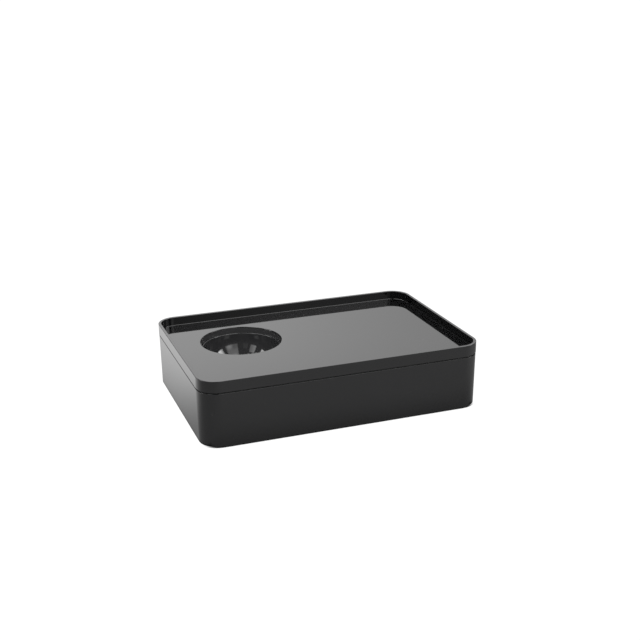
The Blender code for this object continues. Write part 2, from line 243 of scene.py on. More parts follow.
# the length of a flat vector
def reach(tree, across, up):
    squares = (mathNode(tree, "MULTIPLY", side, side) for side in (across, up))
    return mathNode(tree, "SQRT", mathNode(tree, "ADD", *squares))


def blendValue(tree, share, first, second):
    return addNode(tree, "Mix", {"data_type": "FLOAT"}, {0: share, 2: first, 3: second}).outputs[0]


# the slight waviness of a moulded skin, and the fine texture in it
def makeMouldGrain():
    group, ins, outs = startGroup("mouldGrain", (
        ("Vector", "NodeSocketVector", None), ("Wave Scale", "NodeSocketFloat", 90.0),
        ("Grain Scale", "NodeSocketFloat", 1800.0), ("Grain Share", "NodeSocketFloat", 0.3)), ("Height",))
    wave = noise(group, ins.outputs["Vector"], ins.outputs["Wave Scale"], 1.5, 0.4)
    grain = noise(group, ins.outputs["Vector"], ins.outputs["Grain Scale"], 2.0, 0.6)
    height = mathNode(group, "ADD", wave, mathNode(group, "MULTIPLY", grain, ins.outputs["Grain Share"]))
    group.links.new(height, outs.inputs["Height"])
    return group


# smears left by a cloth: long soft strokes that come and go in patches
def makeWipeMarks():
    group, ins, outs = startGroup("wipeMarks", (
        ("Vector", "NodeSocketVector", None), ("Scale", "NodeSocketFloat", 14.0),
        ("Strength", "NodeSocketFloat", 1.0)), ("Smear",))
    turned = addNode(group, "Mapping", None, {"Vector": ins.outputs["Vector"], "Rotation": (0.3, 0.2, 0.5),
                                              "Scale": (1.0, 4.5, 2.0)})
    strokes = noise(group, turned.outputs[0], ins.outputs["Scale"], 6.0, 0.62, 0.7)
    patches = noise(group, ins.outputs["Vector"], ins.outputs["Scale"], 2.0)
    smear = mathNode(group, "MULTIPLY", ramp(group, strokes, 0.42, 0.72), ramp(group, patches, 0.38, 0.66))
    group.links.new(mathNode(group, "MULTIPLY", smear, ins.outputs["Strength"]), outs.inputs["Smear"])
    return group


# lone specks, mostly on what faces up
def makeDustSpecks():
    group, ins, outs = startGroup("dustSpecks", (
        ("Vector", "NodeSocketVector", None), ("Scale", "NodeSocketFloat", 260.0),
        ("Speck Size", "NodeSocketFloat", 0.10), ("Amount", "NodeSocketFloat", 0.2)), ("Dust",))
    cells = addNode(group, "TexVoronoi", None, {"Vector": ins.outputs["Vector"], "Scale": ins.outputs["Scale"]})
    speck = mathNode(group, "LESS_THAN", cells.outputs["Distance"], ins.outputs["Speck Size"])
    lot = addNode(group, "SeparateColor", None, {"Color": cells.outputs["Color"]})
    chosen = mathNode(group, "LESS_THAN", lot.outputs[0], ins.outputs["Amount"])
    facing = addNode(group, "SeparateXYZ", None, {"Vector": addNode(group, "NewGeometry").outputs["Normal"]})
    upward = ramp(group, facing.outputs["Z"], -0.2, 0.8, 0.15, 1.0)
    dust = mathNode(group, "MULTIPLY", mathNode(group, "MULTIPLY", speck, chosen), upward)
    group.links.new(dust, outs.inputs["Dust"])
    return group


# thin shallow lines in two directions, broken into short lengths
def makeHairScratches():
    group, ins, outs = startGroup("hairScratches", (
        ("Vector", "NodeSocketVector", None), ("Scale", "NodeSocketFloat", 20.0),
        ("Width", "NodeSocketFloat", 0.004), ("Amount", "NodeSocketFloat", 0.5)), ("Scratch",))
    total = None
    for turn, stretch in ((0.7, 0.16), (-0.9, 0.22)):
        laid = addNode(group, "Mapping", None, {"Vector": ins.outputs["Vector"], "Rotation": (0, 0, turn),
                                                "Scale": (1.0, stretch, 1.0)})
        field = noise(group, laid.outputs[0], ins.outputs["Scale"], 0.0)
        off = mathNode(group, "ABSOLUTE", mathNode(group, "SUBTRACT", field, 0.5))
        line = mathNode(group, "LESS_THAN", off, ins.outputs["Width"])
        total = line if total is None else mathNode(group, "MAXIMUM", total, line)
    kept = ramp(group, noise(group, ins.outputs["Vector"], 55.0, 2.0), 0.58, 0.68)
    scratch = mathNode(group, "MULTIPLY", mathNode(group, "MULTIPLY", total, kept), ins.outputs["Amount"])
    group.links.new(scratch, outs.inputs["Scratch"])
    return group


# corners rubbed by handling, found from how far a rounded normal leaves the real one
def makeEdgeWear():
    group, ins, outs = startGroup("edgeWear", (
        ("Vector", "NodeSocketVector", None), ("Radius", "NodeSocketFloat", 0.0009),
        ("Amount", "NodeSocketFloat", 0.5)), ("Wear",))
    rounded = addNode(group, "Bevel", {"samples": 4}, {"Radius": ins.outputs["Radius"]})
    plain = addNode(group, "NewGeometry")
    agree = addNode(group, "VectorMath", {"operation": "DOT_PRODUCT"},
                    {0: rounded.outputs[0], 1: plain.outputs["Normal"]})
    edge = ramp(group, mathNode(group, "SUBTRACT", 1.0, agree.outputs["Value"]), 0.02, 0.22)
    broken = noise(group, ins.outputs["Vector"], 140.0, 5.0, 0.7)
    wear = mathNode(group, "MULTIPLY", edge, ramp(group, broken, 0.40, 0.68))
    group.links.new(mathNode(group, "MULTIPLY", wear, ins.outputs["Amount"]), outs.inputs["Wear"])
    return group


mouldGrain = makeMouldGrain()
wipeMarks = makeWipeMarks()
dustSpecks = makeDustSpecks()
hairScratches = makeHairScratches()
edgeWear = makeEdgeWear()
print("node groups made")


def startFinish(name):
    material = bpy.data.materials.new(name)
    material.use_nodes = True
    tree = material.node_tree
    shader = tree.nodes["Principled BSDF"]
    place = addNode(tree, "TexCoord").outputs["Object"]
    return material, tree, shader, place


def useGroup(tree, group, inputs):
    return addNode(tree, "Group", {"node_tree": group}, inputs).outputs[0]


# a colour is a plain (red, green, blue), or the socket that feeds it
def blendColour(tree, share, first, second):
    first, second = ((*end, 1) if isinstance(end, tuple) else end for end in (first, second))
    return addNode(tree, "Mix", {"data_type": "RGBA"}, {0: share, 6: first, 7: second}).outputs[2]


# base + value * weight, for each (value, weight)
def addUp(tree, base, *parts):
    total = base
    for value, weight in parts:
        total = mathNode(tree, "ADD", total, mathNode(tree, "MULTIPLY", value, weight))
    return total


def dustOf(tree, place, look):
    return useGroup(tree, dustSpecks, {"Vector": place, "Scale": look["dustScale"],
                                       "Speck Size": look["dustSize"], "Amount": look["dust"]})


def wearOf(tree, place, look):
    return useGroup(tree, edgeWear, {"Vector": place, "Radius": look["wearRadius"], "Amount": look["wear"]})


# joins a finish's colour, roughness and relief to its shader
def coat(tree, shader, colour, rough, height, distance):
    bump = addNode(tree, "Bump", None, {"Strength": 1.0, "Distance": distance, "Height": height})
    for key, value in (("Base Color", colour), ("Roughness", rough), ("Normal", bump.outputs[0])):
        tree.links.new(value, shader.inputs[key])


def makePlastic(name, look):
    material, tree, shader, place = startFinish(name)
    grain = useGroup(tree, mouldGrain, {"Vector": place, "Wave Scale": look["waveScale"],
                                        "Grain Scale": look["grainScale"], "Grain Share": look["grainShare"]})
    smear = useGroup(tree, wipeMarks, {"Vector": place, "Scale": look["smearScale"], "Strength": look["smear"]})
    dust = dustOf(tree, place, look)
    scratch = useGroup(tree, hairScratches, {"Vector": place, "Scale": look["scratchScale"],
                                             "Width": look["scratchWidth"], "Amount": look["scratch"]})
    wear = wearOf(tree, place, look)
    rubbed = blendColour(tree, wear, look["colour"], look["wearColour"])
    tint = blendColour(tree, mathNode(tree, "MULTIPLY", smear, look["smearShow"]), rubbed, look["smearColour"])
    dusty = blendColour(tree, mathNode(tree, "MULTIPLY", dust, look["dustShow"]), tint, look["dustColour"])
    rough = addUp(tree, look["roughness"], (smear, look["smearRoughness"]), (dust, look["dustRoughness"]),
                  (scratch, look["scratchRoughness"]), (wear, look["wearRoughness"]),
                  (grain, look["grainRoughness"]))
    height = addUp(tree, 0.0, (grain, 1.0), (scratch, -look["scratchDepth"]), (dust, look["dustHeight"]))
    coat(tree, shader, dusty, rough, height, look["bumpDistance"])
    shader.inputs["IOR"].default_value = look["ior"]
    return material


glossLook = {
    "colour": (0.0040, 0.0040, 0.0043), "ior": 1.50, "roughness": 0.035,
    "waveScale": 70.0, "grainScale": 1500.0, "grainShare": 0.06, "grainRoughness": 0.012, "bumpDistance": 0.000004,
    "smearScale": 11.0, "smear": 0.8, "smearShow": 0.25, "smearRoughness": 0.07,
    "smearColour": (0.010, 0.010, 0.011),
    "dustScale": 230.0, "dustSize": 0.085, "dust": 0.05, "dustShow": 0.5, "dustColour": (0.20, 0.19, 0.18),
    "dustHeight": 2.0, "dustRoughness": 0.35,
    "scratchScale": 16.0, "scratchWidth": 0.0012, "scratch": 0.6, "scratchDepth": 0.3, "scratchRoughness": 0.12,
    "wearRadius": 0.0007, "wear": 0.4, "wearRoughness": 0.16, "wearColour": (0.018, 0.018, 0.019),
}
satinLook = dict(glossLook, colour=(0.012, 0.012, 0.013), roughness=0.36, grainShare=0.8, grainRoughness=0.08,
                 bumpDistance=0.00002, wearRadius=0.0009, wear=0.8, wearColour=(0.045, 0.045, 0.046),
                 smearColour=(0.03, 0.03, 0.03))
chuteLook = dict(glossLook, colour=(0.040, 0.040, 0.041), roughness=0.28, grainShare=0.5, grainRoughness=0.05,
                 bumpDistance=0.00001, wearColour=(0.055, 0.055, 0.056), smearColour=(0.05, 0.05, 0.05))
bowlLook = dict(glossLook, colour=(0.026, 0.026, 0.027), roughness=0.03, dust=0.03, smear=0.6, scratch=0.8,
                bumpDistance=0.000003)

boxPlastic = makePlastic("boxGlossBlack", glossLook)
trayPlastic = makePlastic("trayGlossBlack", glossLook)
chutePlastic = makePlastic("chuteSatinBlack", chuteLook)
bowlPlastic = makePlastic("bowlGlossBlack", bowlLook)
dividerPlastic = makePlastic("dividerSatinBlack", satinLook)


def makeRubber(name, look):
    material, tree, shader, place = startFinish(name)
    fine = useGroup(tree, mouldGrain, {"Vector": place, "Wave Scale": look["poreScale"],
                                       "Grain Scale": look["poreScale"] * 4, "Grain Share": look["poreShare"]})
    bloomed = ramp(tree, noise(tree, place, look["bloomScale"], 5.0, 0.6), 0.45, 0.75)
    wear = wearOf(tree, place, look)
    dust = dustOf(tree, place, look)
    greyed = blendColour(tree, mathNode(tree, "MULTIPLY", bloomed, look["bloomShow"]), look["colour"],
                         look["bloomColour"])
    rubbed = blendColour(tree, wear, greyed, look["wearColour"])
    dusty = blendColour(tree, mathNode(tree, "MULTIPLY", dust, look["dustShow"]), rubbed, look["dustColour"])
    rough = addUp(tree, look["roughness"], (bloomed, look["bloomRoughness"]), (wear, look["wearRoughness"]),
                  (fine, look["poreRoughness"]))
    height = fine
    if look["ribPitch"]:
        along = addNode(tree, "SeparateXYZ", None, {"Vector": place}).outputs[look["ribAxis"]]
        swing = mathNode(tree, "SINE", mathNode(tree, "MULTIPLY", along, math.tau / look["ribPitch"]))
        height = addUp(tree, fine, (ramp(tree, swing, -0.5, 0.5), look["ribHeight"]))
    coat(tree, shader, dusty, rough, height, look["bumpDistance"])
    return material


rubberLook = {
    "colour": (0.012, 0.012, 0.012), "roughness": 0.60, "bumpDistance": 0.00004,
    "poreScale": 900.0, "poreShare": 0.5, "poreRoughness": 0.06,
    "bloomScale": 45.0, "bloomShow": 0.5, "bloomRoughness": 0.12, "bloomColour": (0.035, 0.034, 0.033),
    "dustScale": 420.0, "dustSize": 0.16, "dust": 0.10, "dustShow": 0.4, "dustColour": (0.16, 0.15, 0.14),
    "wearRadius": 0.0006, "wear": 0.7, "wearRoughness": -0.15, "wearColour": (0.05, 0.05, 0.05),
    "ribPitch": 0.0, "ribAxis": "X", "ribHeight": 0.0,
}
matRubber = makeRubber("matRubber", dict(rubberLook, ribPitch=0.004, ribAxis="Y", ribHeight=8.0))
sleeveRubber = makeRubber("sleeveRubber", dict(rubberLook, poreScale=1300.0, wear=1.0))
capRubber = makeRubber("capRubber", dict(rubberLook, colour=(0.010, 0.010, 0.010)))
cushionRubber = makeRubber("cushionRubber", dict(rubberLook, colour=(0.016, 0.016, 0.016)))
footRubber = makeRubber("footRubber", dict(rubberLook, roughness=0.7, bloomColour=(0.05, 0.05, 0.048)))
# near-black, darker than the other rubber, so that the parting gap behind the tray skirt shows as a dark line: partly
# the silicone's own black, partly painted shade
shadeDarkenedGasketSilicone = makeRubber("shadeDarkenedGasketSilicone", dict(rubberLook, colour=(0.004, 0.004, 0.004), roughness=0.55,
                                                   bloomColour=(0.008, 0.008, 0.008), bumpDistance=0.00002))


def makeSteel(name, look):
    material, tree, shader, place = startFinish(name)
    stretched = addNode(tree, "Mapping", None, {"Vector": place, "Scale": look["stretch"]})
    lines = noise(tree, stretched.outputs[0], look["lineScale"], 6.0, 0.7)
    smear = useGroup(tree, wipeMarks, {"Vector": place, "Scale": look["smearScale"], "Strength": 1.0})
    wear = wearOf(tree, place, look)
    streaky = blendColour(tree, ramp(tree, lines, 0.35, 0.65), look["dark"], look["light"])
    bright = blendColour(tree, wear, streaky, look["wearColour"])
    rough = addUp(tree, look["roughness"], (lines, look["lineRoughness"]), (smear, look["smearRoughness"]),
                  (wear, look["wearRoughness"]))
    coat(tree, shader, bright, rough, lines, look["bumpDistance"])
    shader.inputs["Metallic"].default_value = 1.0
    return material


steelLook = {
    "stretch": (1.0, 12.0, 12.0), "lineScale": 160.0, "lineRoughness": 0.18, "roughness": 0.20,
    "dark": (0.42, 0.42, 0.41), "light": (0.60, 0.60, 0.59), "bumpDistance": 0.000015,
    "smearScale": 60.0, "smearRoughness": 0.14,
    "wearRadius": 0.0004, "wear": 0.7, "wearRoughness": -0.08, "wearColour": (0.75, 0.75, 0.74),
}
rodSteel = makeSteel("rodSteel", steelLook)
screwSteel = makeSteel("screwSteel", dict(steelLook, stretch=(1.0, 1.0, 9.0), lineScale=300.0, roughness=0.26,
                                          dark=(0.36, 0.35, 0.34), light=(0.56, 0.55, 0.54)))
print("finishes made")


# where things are, from the frame
boxLow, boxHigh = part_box("base_box")
trayLow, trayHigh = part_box("tray")
sealLow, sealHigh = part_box("chute_seal")
bowlLow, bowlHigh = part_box("waste_bowl")
chuteAxis = plumb(sealLow, sealHigh)
cornerRadius = 0.0210
coreX = (trayHigh.x - trayLow.x) / 2 - cornerRadius
coreY = (trayHigh.y - trayLow.y) / 2 - cornerRadius
footPlaces = ("front_left", "front_right", "rear_left", "rear_right")


boxShell = {
    "draft": 0.0010, "skirtDrop": 0.0009, "wall": 0.0028, "floor": 0.0028, "underReach": 0.0140,
    "insideReach": 0.0120, "bottomRound": 0.0012, "brimRound": 0.0003, "insideRound": 0.0015, "cornerSteps": 20,
    "partingGap": 0.00065, "partingStep": 0.00025, "lipWall": 0.0009, "lipDepth": 0.0013, "lipRound": 0.0002,
    "cradleInner": 0.0240, "cradleWall": 0.0025, "cradleTop": 0.0140, "cradleRound": 0.0006,
    "cradleFillet": 0.0010, "cradleReach": 0.0020, "cradleSteps": 96,
    "bossRadius": 0.0040, "bossTop": 0.0095, "bossRound": 0.0005, "bossFillet": 0.0008, "bossReach": 0.0012,
    "bossSteps": 32, "pocketGap": 0.0003, "pocketDeep": 0.0008, "pocketRound": 0.0002,
    "holeRadius": 0.0018, "holeTop": 0.0083,
    "ribThick": 0.0015, "ribDeep": 0.0030, "ribRoot": 0.0012, "ribGap": 0.0003, "ribSink": 0.001,
    "ribShort": 0.0015, "ribRound": 0.0003,
}


def buildBoxShell(spec):
    foot = cornerRadius - spec["draft"]
    inner = cornerRadius - spec["wall"]
    bottom, top = boxLow.z - spec["skirtDrop"], boxHigh.z
    floorTop = boxLow.z + spec["floor"]
    pocketTop = boxLow.z + spec["pocketDeep"]
    land = top - spec["lipDepth"]
    brim = top - spec["partingGap"]
    shoulder = cornerRadius - spec["partingStep"]
    lip = cornerRadius - spec["lipWall"]
    bm = sweepRound(profileWire((
        (spec["underReach"], bottom),
        (foot, bottom, spec["bottomRound"], 5),
        (shoulder, brim, spec["brimRound"], 3),
        (lip, brim, spec["lipRound"], 2),
        (lip, land),
        (inner, land, spec["brimRound"], 2),
        (inner - spec["draft"], floorTop, spec["insideRound"], 5),
        (spec["insideReach"], floorTop),
    )), coreX, coreY, spec["cornerSteps"])
    for place in footPlaces:
        low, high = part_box("foot_" + place)
        spot = plumb(low, high)
        pocket = (high.x - low.x) / 2 + spec["pocketGap"]
        joinInto(bm, spinRound(profileWire((
            (pocket, bottom),
            (pocket, pocketTop, spec["pocketRound"], 2),
            (spec["holeRadius"], pocketTop),
            (spec["holeRadius"], spec["holeTop"]),
            (0, spec["holeTop"]),
        )), spec["bossSteps"], spot))
        joinInto(bm, spinRound(profileWire((
            (spec["bossRadius"] + spec["bossReach"], floorTop),
            (spec["bossRadius"], floorTop, spec["bossFillet"], 4),
            (spec["bossRadius"], spec["bossTop"], spec["bossRound"], 3),
            (0, spec["bossTop"]),
        )), spec["bossSteps"], spot))
    outer = spec["cradleInner"] + spec["cradleWall"]
    joinInto(bm, spinRound(profileWire((
        (outer + spec["cradleReach"], floorTop),
        (outer, floorTop, spec["cradleFillet"], 4),
        (outer, spec["cradleTop"], spec["cradleRound"], 3),
        (spec["cradleInner"], spec["cradleTop"], spec["cradleRound"], 3),
        (spec["cradleInner"], floorTop, spec["cradleFillet"], 4),
        (spec["cradleInner"] - spec["cradleReach"], floorTop),
    )), spec["cradleSteps"], chuteAxis))
    fillFlat(bm, openEdges(bm, bottom))
    fillFlat(bm, openEdges(bm, floorTop, chuteAxis.xy, spec["cradleInner"]))
    fillFlat(bm, openEdges(bm, floorTop))
    divLow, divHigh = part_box("storage_divider")
    for side in (-1, 1):
        wallY = side * (coreY + inner - spec["draft"])
        lowY, highY = sorted((wallY + side * spec["ribRoot"], wallY - side * spec["ribDeep"]))
        for edge, reach in ((divLow.x - spec["ribGap"], -1), (divHigh.x + spec["ribGap"], 1)):
            lowX, highX = sorted((edge, edge + reach * spec["ribThick"]))
            low, high = (lowX, lowY, floorTop - spec["ribSink"]), (highX, highY, divHigh.z - spec["ribShort"])
            joinInto(bm, softBlock(low, high, spec["ribRound"]))
    return finishPiece("box_shell", bm, "box", ["base_box"], boxPlastic)


buildBoxShell(boxShell)
print("box shell built")


trayLid = {
    "underside": 0.0573, "rimWidth": 0.00305, "floorBelowRim": 0.00935, "floorThick": 0.0024,
    "lipOffset": 0.01775, "lipWall": 0.0018, "cornerSteps": 24,
    "chuteRadius": 0.04317, "collarWall": 0.0018, "collarBottom": 0.0522, "chuteRound": 0.0009,
    "chuteSteps": 160, "edgeRound": 0.0004, "footRound": 0.0006, "undersideRound": 0.0003, "lipRound": 0.0004,
    "collarRound": 0.0003, "collarFillet": 0.0005, "floorReach": 0.0040, "mouthReach": 0.0025,
    "underReach": 0.0020, "satinMargin": 0.0005,
}


def buildTrayLid(spec):
    rimTop = trayHigh.z
    floorTop = rimTop - spec["floorBelowRim"]
    floorUnder = floorTop - spec["floorThick"]
    rimInner = cornerRadius - spec["rimWidth"]
    lipInner = spec["lipOffset"] - spec["lipWall"]
    bm = sweepRound(profileWire((
        (rimInner - spec["floorReach"], floorTop),
        (rimInner, floorTop, spec["footRound"], 4),
        (rimInner, rimTop, spec["edgeRound"], 5),
        (cornerRadius, rimTop, spec["edgeRound"], 5),
        (cornerRadius, spec["underside"], spec["undersideRound"], 3),
        (spec["lipOffset"], spec["underside"]),
        (spec["lipOffset"], trayLow.z, spec["lipRound"], 2),
        (lipInner, trayLow.z, spec["lipRound"], 2),
        (lipInner, floorUnder, spec["lipRound"], 2),
        (lipInner - spec["floorReach"], floorUnder),
    )), coreX, coreY, spec["cornerSteps"])
    outside = spec["chuteRadius"] + spec["collarWall"]
    joinInto(bm, spinRound(profileWire((
        (spec["chuteRadius"] + spec["mouthReach"], floorTop),
        (spec["chuteRadius"], floorTop, spec["chuteRound"], 6),
        (spec["chuteRadius"], spec["collarBottom"], spec["collarRound"], 2),
        (outside, spec["collarBottom"], spec["collarRound"], 2),
        (outside, floorUnder, spec["collarFillet"], 3),
        (outside + spec["underReach"], floorUnder),
    )), spec["chuteSteps"], chuteAxis))
    fillFlat(bm, openEdges(bm, floorTop))
    fillFlat(bm, openEdges(bm, floorUnder))
    lid = finishPiece("tray_lid", bm, "tray_lid", ["tray"], trayPlastic)
    lid.data.materials.append(chutePlastic)
    for face in lid.data.polygons:  # the collar is satin, apart from its rounded mouth
        nearChute = (face.center.xy - chuteAxis.xy).length < outside + spec["satinMargin"]
        if nearChute and face.center.z < floorTop - spec["chuteRound"]:
            face.material_index = 1
    return lid


buildTrayLid(trayLid)


trayGasket = {"rounding": 0.0002, "wallGap": 0.0003, "cornerSteps": 20}
gasketLow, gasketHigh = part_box("tray_gasket")


def buildTrayGasket(spec):
    outer = gasketHigh.x - coreX
    inner = cornerRadius - boxShell["wall"] + spec["wallGap"]
    bottom, top = gasketLow.z, gasketHigh.z
    bm = sweepRound(profileWire((
        (outer, bottom, spec["rounding"], 2),
        (outer, top, spec["rounding"], 2),
        (inner, top, spec["rounding"], 2),
        (inner, bottom, spec["rounding"], 2),
    ), True), coreX, coreY, spec["cornerSteps"])
    return finishPiece("tray_gasket_strip", bm, "tray_lid", ["tray_gasket"], shadeDarkenedGasketSilicone)


chuteSeal = {"wall": 0.0016, "gap": 0.0003, "lipTop": 0.0519, "rounding": 0.0003, "footRound": 0.0006, "steps": 120}


def buildChuteSeal(spec):
    outer = (sealHigh.x - sealLow.x) / 2
    inner = outer - spec["wall"]
    lip = trayLid["chuteRadius"] + spec["gap"]
    bm = spinRound(profileWire((
        (lip, sealLow.z, spec["rounding"], 3),
        (outer, sealLow.z, spec["footRound"], 4),
        (outer, sealHigh.z, spec["rounding"], 3),
        (inner, sealHigh.z, spec["rounding"], 3),
        (inner, spec["lipTop"]),
        (lip, spec["lipTop"], spec["rounding"], 3),
    ), True), spec["steps"], chuteAxis)
    return finishPiece("chute_seal_ring", bm, "tray_lid", ["chute_seal"], shadeDarkenedGasketSilicone)


buildTrayGasket(trayGasket)
buildChuteSeal(chuteSeal)
print("tray lid and its soft strips built")


wasteBowl = {
    "centreHeight": 0.0552, "innerRadius": 0.0413, "outerRadius": 0.04285, "footRadius": 0.0145,
    "rimRound": 0.00055, "footRound": 0.0006, "innerSteps": 40, "outerSteps": 32, "steps": 160,
    "saddleInner": 0.0280, "saddleHalf": 0.0085, "saddleBottom": 0.0290, "saddleTop": 0.0410,
    "slotRadius": 0.0055, "baseRound": 0.0010, "hornRound": 0.0008, "slotRound": 0.0005, "faceRound": 0.0004,
}
almostFull = 0.98  # two roundings that met exactly would leave doubled points


# an upright arc about (0, 0, centreHeight), with angles in degrees from straight down towards +x
def arcWire(bm, radius, centreHeight, fromAngle, toAngle, steps):
    start = bm.verts.new((0, 0, centreHeight - radius))
    centre = Vector((0, 0, centreHeight))
    bmesh.ops.rotate(bm, verts=[start], cent=centre, matrix=Matrix.Rotation(-math.radians(fromAngle), 3, "Y"))
    swung = bmesh.ops.spin(bm, geom=[start], cent=centre, axis=(0, -1, 0),
                           angle=math.radians(toAngle - fromAngle), steps=steps)
    last = [item for item in swung["geom_last"] if isinstance(item, bmesh.types.BMVert)][0]
    return start, last


def buildWasteBowl(spec):
    rim = bowlHigh.z
    centre = spec["centreHeight"]
    bm = bmesh.new()
    topInner = math.degrees(math.acos((centre - rim) / spec["innerRadius"]))
    topOuter = math.degrees(math.acos((centre - rim) / spec["outerRadius"]))
    footAngle = math.degrees(math.asin(spec["footRadius"] / spec["outerRadius"]))
    innerRim = arcWire(bm, spec["innerRadius"], centre, 0, topInner, spec["innerSteps"])[1]
    footTop, outerRim = arcWire(bm, spec["outerRadius"], centre, footAngle, topOuter, spec["outerSteps"])
    footEdge = bm.verts.new((spec["footRadius"], 0, bowlLow.z))
    footPole = bm.verts.new((0, 0, bowlLow.z))
    bm.edges.new((innerRim, outerRim))
    bm.edges.new((footTop, footEdge))
    bm.edges.new((footEdge, footPole))
    for vert, rounding in ((innerRim, spec["rimRound"]), (outerRim, spec["rimRound"]), (footEdge, spec["footRound"])):
        roundVert(bm, vert, rounding, 5)
    spinRound(bm, spec["steps"], chuteAxis)
    wallMiddle = (spec["innerRadius"] + spec["outerRadius"]) / 2
    barHeight = (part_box("knock_bar_rod")[0].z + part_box("knock_bar_rod")[1].z) / 2
    half, slot = spec["saddleHalf"], spec["slotRadius"]
    slotFoot = barHeight - slot
    for side in (-1, 1):
        saddle = outline((
            (-half, spec["saddleBottom"], spec["baseRound"], 3), (half, spec["saddleBottom"], spec["baseRound"], 3),
            (half, spec["saddleTop"], spec["hornRound"], 3), (slot, spec["saddleTop"], spec["slotRound"], 2),
            (slot, slotFoot, slot * almostFull, 10), (-slot, slotFoot, slot * almostFull, 10),
            (-slot, spec["saddleTop"], spec["slotRound"], 2), (-half, spec["saddleTop"], spec["hornRound"], 3),
        ))
        standUp(saddle)
        bmesh.ops.translate(saddle, verts=saddle.verts[:], vec=(side * spec["saddleInner"], 0, 0))
        far = thicken(saddle, (side * 0.001, 0, 0))
        for vert in far:  # the far end runs out into the middle of the bowl's wall
            rise = vert.co.z - centre
            vert.co.x = side * math.sqrt(wallMiddle ** 2 - vert.co.y ** 2 - rise ** 2)
        face = [edge for edge in saddle.edges
                if all(abs(abs(vert.co.x) - spec["saddleInner"]) < 1e-6 for vert in edge.verts)]
        bmesh.ops.bevel(saddle, geom=face, offset=spec["faceRound"], offset_type="OFFSET", affect="EDGES",
                        segments=2, profile=0.5, material=-1)
        bmesh.ops.translate(saddle, verts=saddle.verts[:], vec=chuteAxis)
        joinInto(bm, saddle)
    return finishPiece("bowl_shell", bm, "bowl", ["waste_bowl"], bowlPlastic, 50)


buildWasteBowl(wasteBowl)
print("waste bowl built")


barSleeve = {"bore": 0.0043, "groove": 0.0005, "ridges": 12, "rounding": 0.0002, "steps": 64}


def buildBarSleeve(spec):
    low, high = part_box("knock_bar_sleeve")
    centre = (low + high) / 2
    half, radius = (high.x - low.x) / 2, (high.z - low.z) / 2
    pitch = 2 * half / (spec["ridges"] + 0.5)
    points = [(spec["bore"], -half)]
    for ridge in range(spec["ridges"] + 1):
        start = -half + ridge * pitch
        points.append((radius, start, spec["rounding"], 3))
        points.append((radius, start + pitch * 0.5, spec["rounding"], 3))
        if ridge < spec["ridges"]:
            points.append((radius - spec["groove"], start + pitch * 0.6, 0.0001, 1))
            points.append((radius - spec["groove"], start + pitch * 0.9, 0.0001, 1))
    points.append((spec["bore"], half))
    bm = spinRound(profileWire(points, True), spec["steps"], centre, "X")
    return finishPiece("bar_sleeve", bm, "knock_bar", ["knock_bar_sleeve"], sleeveRubber)


endCap = {"flangeLong": 0.0015, "flangeRadius": 0.0062, "radius": 0.0052, "bore": 0.0043, "floor": 0.0017,
          "steps": 64}


def buildEndCap(spec, side, sign):
    low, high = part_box("bar_end_cap_" + side)
    centre = Vector((0, (low.y + high.y) / 2, (low.z + high.z) / 2))
    near, far = (low.x, high.x) if sign > 0 else (high.x, low.x)
    bm = profileWire((
        (spec["bore"], near),
        (spec["flangeRadius"], near, 0.0003, 3),
        (spec["flangeRadius"], near + sign * spec["flangeLong"], 0.0004, 3),
        (spec["radius"], near + sign * spec["flangeLong"]),
        (spec["radius"], far, 0.0014, 6),
        (0, far),
        (0, far - sign * spec["floor"]),
        (spec["bore"], far - sign * spec["floor"]),
    ))
    bm.edges.ensure_lookup_table()
    ends = [vert for vert in bm.verts if len(vert.link_edges) == 1]
    bm.edges.new(ends)
    spinRound(bm, spec["steps"], centre, "X")
    return finishPiece("bar_cap_" + side, bm, "knock_bar", ["bar_end_cap_" + side], capRubber)


buildBarSleeve(barSleeve)
buildEndCap(endCap, "left", -1)
buildEndCap(endCap, "right", 1)
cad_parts["knock_bar_rod"].material_slots[0].material = rodSteel
print("knock bar built")


cushionRing = {"inner": 0.0224, "skirtTop": 0.0143, "skirtOuter": 0.0237, "shoulder": 0.0279, "seatDrop": 0.0006,
               "rounding": 0.0004, "seatRound": 0.0003, "steps": 96}


def buildCushionRing(spec):
    low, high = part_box("bowl_cushion_ring")
    inner = spec["inner"]
    seatInner = (wasteBowl["centreHeight"] - math.sqrt(wasteBowl["outerRadius"] ** 2 - inner ** 2)
                 - spec["seatDrop"])
    bm = spinRound(profileWire((
        (inner, low.z, spec["rounding"], 3),
        (spec["skirtOuter"], low.z, spec["rounding"], 3),
        (spec["skirtOuter"], spec["skirtTop"]),
        (spec["shoulder"], spec["skirtTop"], spec["rounding"], 3),
        (spec["shoulder"], high.z, spec["seatRound"], 3),
        (inner, seatInner, spec["seatRound"], 3),
    ), True), spec["steps"], chuteAxis)
    return finishPiece("cushion_ring", bm, "box", ["bowl_cushion_ring"], cushionRubber)


buildCushionRing(cushionRing)


storageDivider = {"notchRadius": 0.0120, "edge": 0.0004, "cornerRound": 0.0020, "smallRound": 0.0008}


def buildDivider(spec):
    low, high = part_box("storage_divider")
    half = high.y
    notch = spec["notchRadius"]
    small, corner = (spec["smallRound"], 3), (spec["cornerRound"], 5)
    bm = outline((
        (-half, low.z, *small), (half, low.z, *small), (half, high.z, *corner),
        (notch, high.z, *small), (notch, high.z - notch, notch * almostFull, 16),
        (-notch, high.z - notch, notch * almostFull, 16), (-notch, high.z, *small), (-half, high.z, *corner),
    ))
    standUp(bm)
    bmesh.ops.translate(bm, verts=bm.verts[:], vec=(low.x, 0, 0))
    thicken(bm, (high.x - low.x, 0, 0))
    bevelSharp(bm, spec["edge"], 3, 60)
    return finishPiece("divider_plate", bm, "box", ["storage_divider"], dividerPlastic)


storageMat = {"corner": 0.0100, "edge": 0.0003, "holeRadius": 0.0055, "holeSteps": 32}


